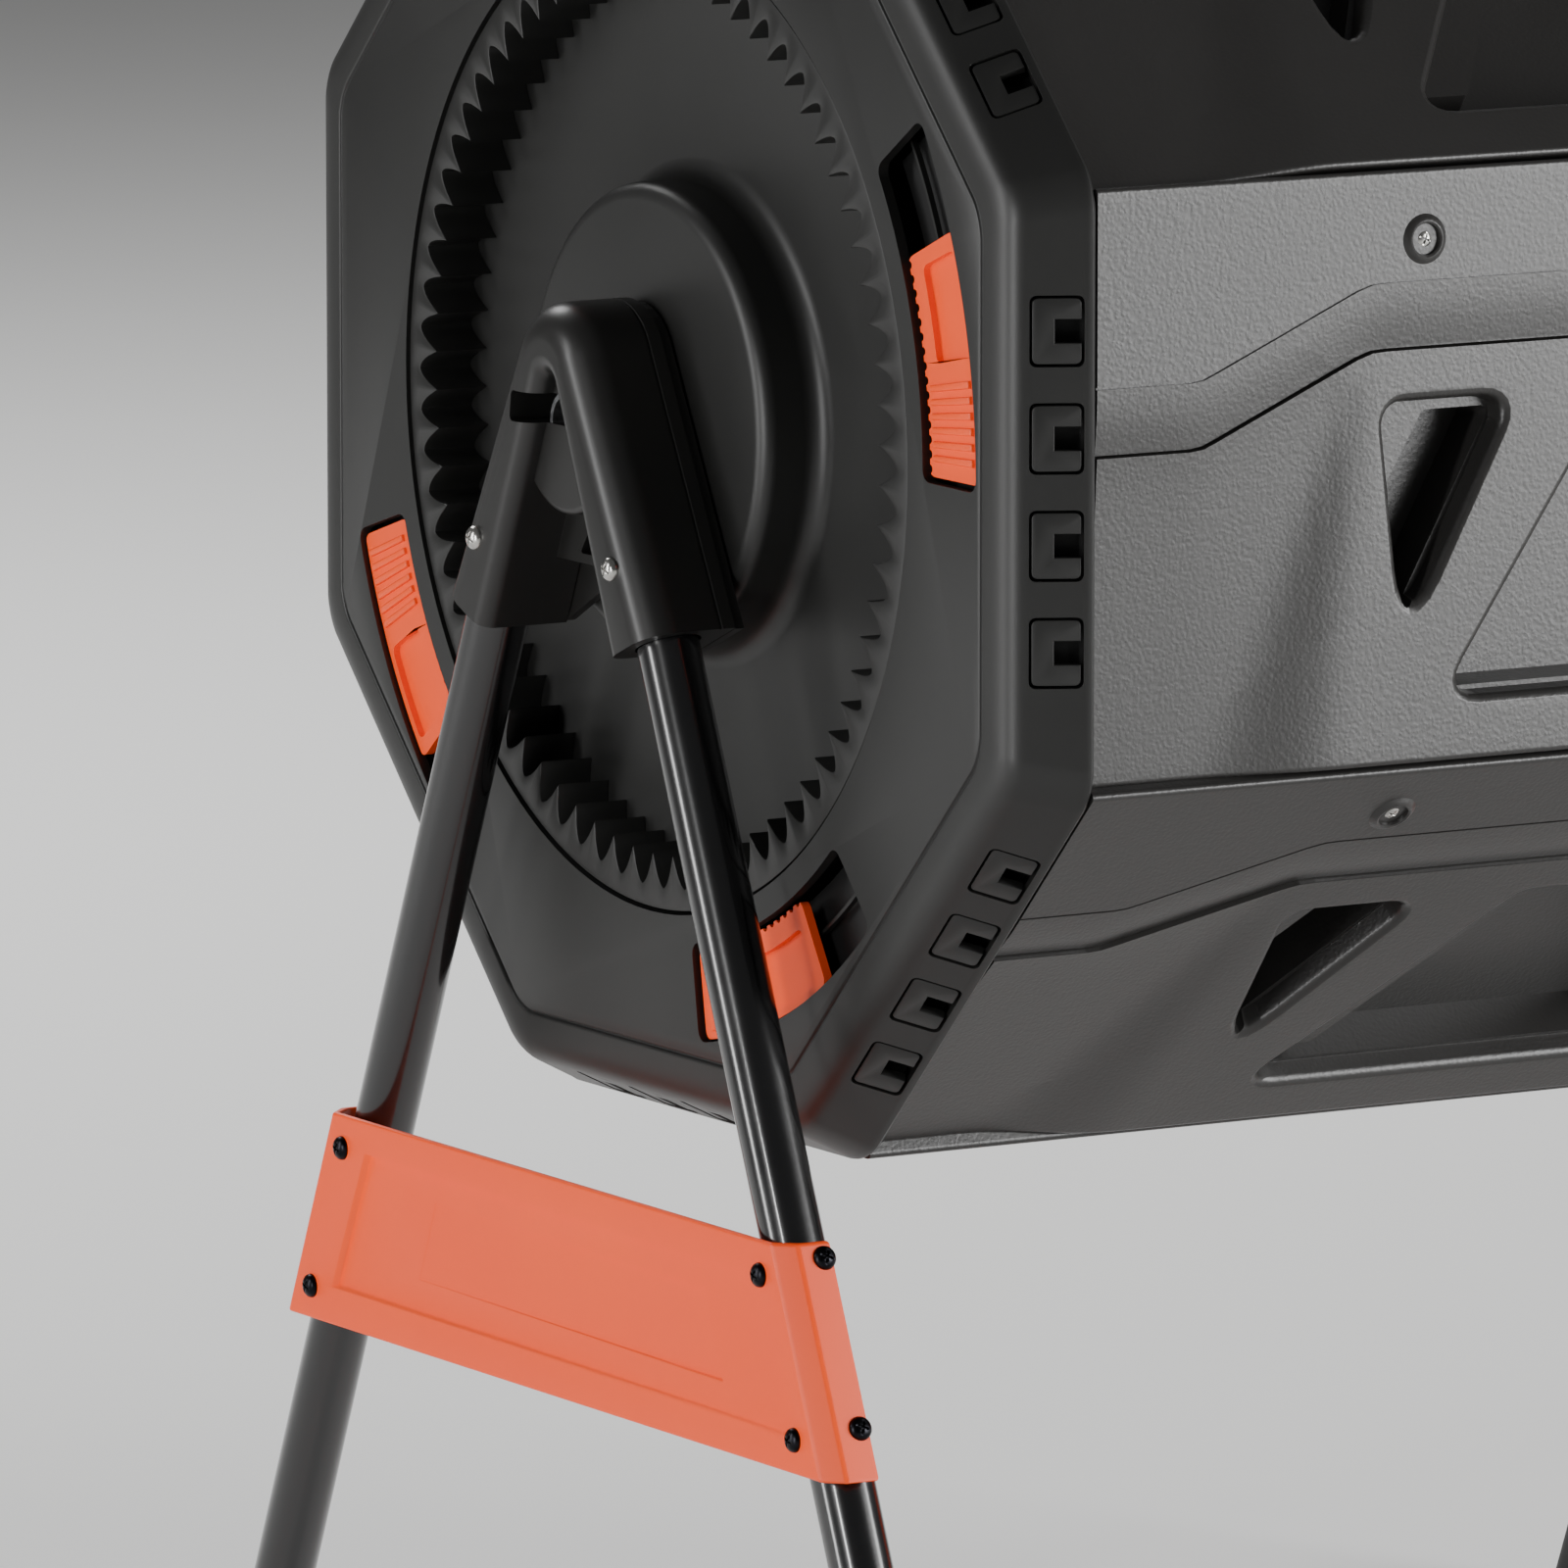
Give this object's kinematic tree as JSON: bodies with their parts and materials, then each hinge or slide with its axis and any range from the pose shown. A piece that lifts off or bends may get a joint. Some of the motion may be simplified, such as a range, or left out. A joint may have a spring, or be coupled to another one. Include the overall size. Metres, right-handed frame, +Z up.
{
  "type": "compost tumbler",
  "caption": "Octagonal compost drum with vents and sliding doors that turns on an axle between A-frame legs.",
  "frame": {"origin": "on the ground under the middle of the drum", "axes": "+X along the axle, +Y across the frames towards the rear, +Z up"},
  "size_m": [0.7266, 0.6182, 0.899],
  "materials": {
    "cap_plastic": "satin moulded charcoal-black plastic, fine grain",
    "hub_plastic": "smooth satin charcoal-black plastic",
    "foot_plastic": "matte black plastic",
    "panel_plastic": "leather-grain moulded charcoal plastic",
    "door_plastic": "satin black plastic",
    "orange_plastic": "satin orange plastic",
    "gloss_tube": "gloss black powder-coated steel",
    "bright_steel": "bright zinc-plated steel",
    "black_steel": "black oxide steel",
    "axle_steel": "zinc-plated steel tube",
    "inner_plastic": "plain black plastic"
  },
  "bodies": {
    "stand": {"axle_tube": "axle_steel", "brace_panel_left": "orange_plastic", "brace_panel_right": "orange_plastic", "brace_screw_left_front_lower": "black_steel", "brace_screw_left_front_upper": "black_steel", "brace_screw_left_rear_lower": "black_steel", "brace_screw_left_rear_upper": "black_steel", "brace_screw_right_front_lower": "black_steel", "brace_screw_right_front_upper": "black_steel", "brace_screw_right_rear_lower": "black_steel", "brace_screw_right_rear_upper": "black_steel", "foot_cap_left_front": "foot_plastic", "foot_cap_left_rear": "foot_plastic", "foot_cap_right_front": "foot_plastic", "foot_cap_right_rear": "foot_plastic", "hub_cover_left": "hub_plastic", "hub_cover_right": "hub_plastic", "hub_housing_left": "hub_plastic", "hub_housing_right": "hub_plastic", "hub_screw_left_front": "bright_steel", "hub_screw_left_rear": "bright_steel", "hub_screw_right_front": "bright_steel", "hub_screw_right_rear": "bright_steel", "leg_tube_left_front": "gloss_tube", "leg_tube_left_rear": "gloss_tube", "leg_tube_right_front": "gloss_tube", "leg_tube_right_rear": "gloss_tube"},
    "drum": {"axle_bush_left": "inner_plastic", "axle_bush_right": "inner_plastic", "chamber_divider": "inner_plastic", "door_panel": "panel_plastic", "end_cap_left": "cap_plastic", "end_cap_right": "cap_plastic", "gear_ring_left": "cap_plastic", "gear_ring_right": "cap_plastic", "side_panel_bottom": "panel_plastic", "side_panel_front": "panel_plastic", "side_panel_front_lower": "panel_plastic", "side_panel_front_upper": "panel_plastic", "side_panel_rear": "panel_plastic", "side_panel_rear_lower": "panel_plastic", "side_panel_rear_upper": "panel_plastic"},
    "door_left": {"door_left": "door_plastic"},
    "door_right": {"door_right": "door_plastic"},
    "vent_slider_left_1": {"vent_slider_left_1": "orange_plastic"},
    "vent_slider_left_2": {"vent_slider_left_2": "orange_plastic"},
    "vent_slider_left_3": {"vent_slider_left_3": "orange_plastic"},
    "vent_slider_left_4": {"vent_slider_left_4": "orange_plastic"},
    "vent_slider_right_1": {"vent_slider_right_1": "orange_plastic"},
    "vent_slider_right_2": {"vent_slider_right_2": "orange_plastic"},
    "vent_slider_right_3": {"vent_slider_right_3": "orange_plastic"},
    "vent_slider_right_4": {"vent_slider_right_4": "orange_plastic"}
  },
  "joints": [
    {"name": "drum_spin", "type": "hinge", "parent": "stand", "child": "drum", "pos_m": [0, 0, 0.6], "axis": [1, 0, 0], "continuous": true},
    {"name": "door_left_slide", "type": "slide", "parent": "drum", "child": "door_left", "axis": [1, 0, 0], "range_m": [0, 0.134]},
    {"name": "door_right_slide", "type": "slide", "parent": "drum", "child": "door_right", "axis": [-1, 0, 0], "range_m": [0, 0.134]},
    {"name": "vent_left_1_turn", "type": "hinge", "parent": "drum", "child": "vent_slider_left_1", "pos_m": [-0.308, 0, 0.6], "axis": [-1, 0, 0], "range_deg": [0, 9.9]},
    {"name": "vent_left_2_turn", "type": "hinge", "parent": "drum", "child": "vent_slider_left_2", "pos_m": [-0.308, 0, 0.6], "axis": [-1, 0, 0], "range_deg": [0, 9.9]},
    {"name": "vent_left_3_turn", "type": "hinge", "parent": "drum", "child": "vent_slider_left_3", "pos_m": [-0.308, 0, 0.6], "axis": [-1, 0, 0], "range_deg": [0, 9.9]},
    {"name": "vent_left_4_turn", "type": "hinge", "parent": "drum", "child": "vent_slider_left_4", "pos_m": [-0.308, 0, 0.6], "axis": [-1, 0, 0], "range_deg": [0, 9.9]},
    {"name": "vent_right_1_turn", "type": "hinge", "parent": "drum", "child": "vent_slider_right_1", "pos_m": [0.308, 0, 0.6], "axis": [1, 0, 0], "range_deg": [0, 9.9]},
    {"name": "vent_right_2_turn", "type": "hinge", "parent": "drum", "child": "vent_slider_right_2", "pos_m": [0.308, 0, 0.6], "axis": [1, 0, 0], "range_deg": [0, 9.9]},
    {"name": "vent_right_3_turn", "type": "hinge", "parent": "drum", "child": "vent_slider_right_3", "pos_m": [0.308, 0, 0.6], "axis": [1, 0, 0], "range_deg": [0, 9.9]},
    {"name": "vent_right_4_turn", "type": "hinge", "parent": "drum", "child": "vent_slider_right_4", "pos_m": [0.308, 0, 0.6], "axis": [1, 0, 0], "range_deg": [0, 9.9]}
  ]
}
